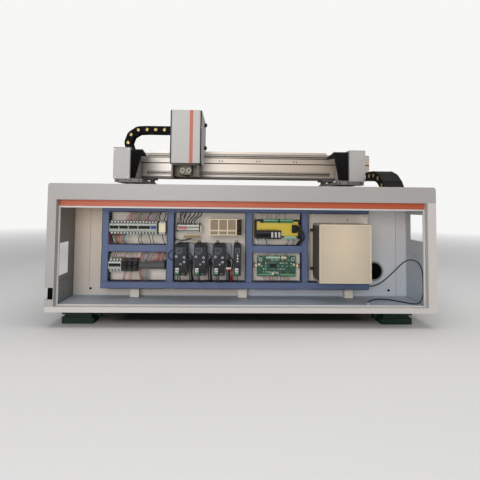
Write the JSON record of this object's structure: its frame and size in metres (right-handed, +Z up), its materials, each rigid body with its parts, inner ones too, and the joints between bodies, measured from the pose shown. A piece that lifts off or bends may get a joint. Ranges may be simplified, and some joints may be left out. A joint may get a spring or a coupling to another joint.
{
  "type": "fiber laser cutting machine",
  "caption": "Gantry laser cutting machine: welded bed with an open electrics cabinet in one end, slat table, and a driven beam carrying a covered cutting head and drag chains",
  "frame": {"origin": "on the floor under the middle of the bed", "axes": "+Z up, +Y from the cabinet end to the rear, +X along the cabinet face, to the right of someone facing it"},
  "size_m": [2.14, 3.8, 1.344],
  "materials": {
    "body_paint": "satin warm grey powder coat",
    "chassis_paint": "satin warm grey paint",
    "orange_paint": "satin orange powder coat",
    "panel_paint": "satin beige-grey paint",
    "duct_plastic": "blue-grey plastic",
    "breaker_plastic": "pale green-white plastic",
    "terminal_plastic": "pale grey plastic",
    "black_toggle": "black plastic",
    "blue_toggle": "blue plastic",
    "earth_brass": "plain brass",
    "supply_case": "cream paint",
    "drive_case": "fine-grained black plastic",
    "controller_case": "yellow paint",
    "circuit_board": "green solder mask",
    "computer_case": "galvanised sheet",
    "cable_sheath": "black sheath",
    "plug_plastic": "clear plug",
    "chain_plastic": "black filled plastic",
    "tray_paint": "black paint",
    "beam_aluminium": "anodised extrusion",
    "machined_steel": "machined steel",
    "bright_steel": "ground steel",
    "bellows_cloth": "coated black cloth",
    "head_aluminium": "machined aluminium",
    "slat_steel": "mill-finish strip",
    "tray_steel": "mill-finish sheet",
    "foot_paint": "dark green paint"
  },
  "bodies": {
    "bed": {"cabinet_face": "body_paint", "cabinet_shell": "body_paint", "side_panel_left": "body_paint", "side_panel_right": "body_paint", "rear_panel": "body_paint", "bed_deck": "body_paint", "chassis_frame": "chassis_paint", "orange_trim_strip": "orange_paint", "mounting_panel": "panel_paint", "wiring_ducts": "duct_plastic", "upper_din_row": "breaker_plastic", "lower_din_row": "breaker_plastic", "terminal_block": "terminal_plastic", "earth_bar": "earth_brass", "power_supply": "supply_case", "servo_drive_x": "drive_case", "servo_drive_y_left": "drive_case", "servo_drive_y_right": "drive_case", "servo_drive_z": "drive_case", "motion_controller": "controller_case", "io_board": "circuit_board", "industrial_computer": "computer_case", "cabinet_cable": "cable_sheath", "cable_plug": "plug_plastic", "y_drag_chain": "chain_plastic", "y_rail_left": "bright_steel", "y_rail_right": "bright_steel", "y_rack_left": "bright_steel", "y_rack_right": "bright_steel", "slat_table": "slat_steel", "scrap_tray": "tray_steel", "foot_front_left": "foot_paint", "foot_front_right": "foot_paint", "foot_middle_left": "foot_paint", "foot_middle_right": "foot_paint", "foot_rear_left": "foot_paint", "foot_rear_right": "foot_paint"},
    "gantry": {"gantry_beam": "beam_aluminium", "gantry_end_left": "machined_steel", "gantry_end_right": "machined_steel", "end_housing_left": "body_paint", "end_housing_right": "body_paint", "bellows_left": "bellows_cloth", "bellows_right": "bellows_cloth", "x_chain_tray": "tray_paint", "x_drag_chain": "chain_plastic"},
    "carriage": {"x_carriage": "machined_steel", "z_cover": "body_paint"},
    "z_axis_slide": {"z_slide": "machined_steel", "cutting_head": "head_aluminium"},
    "pinion_left": {"y_pinion_left": "bright_steel"},
    "pinion_right": {"y_pinion_right": "bright_steel"},
    "pinion_x": {"x_pinion": "bright_steel"},
    "screw_z": {"z_screw": "bright_steel"},
    "toggle_main_a": {"handle_main_a": "black_toggle"},
    "toggle_main_b": {"handle_main_b": "black_toggle"},
    "toggle_main_c": {"handle_main_c": "black_toggle"},
    "toggle_main_d": {"handle_main_d": "black_toggle"},
    "toggle_control": {"handle_control": "blue_toggle"},
    "toggle_lower": {"handle_lower": "black_toggle"}
  },
  "joints": [
    {"name": "y_axis", "type": "slide", "parent": "bed", "child": "gantry", "axis": [0, 1, 0], "range_m": [-0.025, 2.35], "deforming": ["y_drag_chain"]},
    {"name": "x_axis", "type": "slide", "parent": "gantry", "child": "carriage", "axis": [1, 0, 0], "range_m": [-0.15, 0.96], "deforming": ["x_drag_chain"]},
    {"name": "z_axis", "type": "slide", "parent": "carriage", "child": "z_axis_slide", "axis": [0, 0, 1], "range_m": [-0.1, 0.015]},
    {"name": "y_pinion_left_spin", "type": "hinge", "parent": "gantry", "child": "pinion_left", "pos_m": [-0.87613, -0.9, 0.79], "axis": [0, 0, 1], "range_deg": [-6733, 72]},
    {"name": "y_pinion_right_spin", "type": "hinge", "parent": "gantry", "child": "pinion_right", "pos_m": [0.87613, -0.9, 0.79], "axis": [0, 0, 1], "range_deg": [-72, 6733]},
    {"name": "x_pinion_spin", "type": "hinge", "parent": "carriage", "child": "pinion_x", "pos_m": [-0.4065, -0.64087, 1.087], "axis": [0, 0, 1], "range_deg": [-2751, 430]},
    {"name": "z_screw_spin", "type": "hinge", "parent": "carriage", "child": "screw_z", "pos_m": [-0.4065, -0.84, 1.1], "axis": [0, 0, 1], "range_deg": [-541, 3601]},
    {"name": "toggle_main_a", "type": "hinge", "parent": "bed", "child": "toggle_main_a", "pos_m": [-0.7342, -1.745, 0.5235], "axis": [1, 0, 0], "range_deg": [0, 80]},
    {"name": "toggle_main_b", "type": "hinge", "parent": "bed", "child": "toggle_main_b", "pos_m": [-0.6806, -1.745, 0.5235], "axis": [1, 0, 0], "range_deg": [0, 80]},
    {"name": "toggle_main_c", "type": "hinge", "parent": "bed", "child": "toggle_main_c", "pos_m": [-0.627, -1.745, 0.5235], "axis": [1, 0, 0], "range_deg": [0, 80]},
    {"name": "toggle_main_d", "type": "hinge", "parent": "bed", "child": "toggle_main_d", "pos_m": [-0.5645, -1.745, 0.5235], "axis": [1, 0, 0], "range_deg": [0, 80]},
    {"name": "toggle_control", "type": "hinge", "parent": "bed", "child": "toggle_control", "pos_m": [-0.5109, -1.745, 0.5235], "axis": [1, 0, 0], "range_deg": [0, 80]},
    {"name": "toggle_lower", "type": "hinge", "parent": "bed", "child": "toggle_lower", "pos_m": [-0.726, -1.745, 0.31], "axis": [1, 0, 0], "range_deg": [0, 80]}
  ],
  "couplings": [
    {"joint": "y_pinion_left_spin", "follows": "y_axis", "rad_per_m": -50},
    {"joint": "y_pinion_right_spin", "follows": "y_axis", "rad_per_m": 50},
    {"joint": "x_pinion_spin", "follows": "x_axis", "rad_per_m": -50},
    {"joint": "z_screw_spin", "follows": "z_axis", "rad_per_m": -628.32}
  ]
}
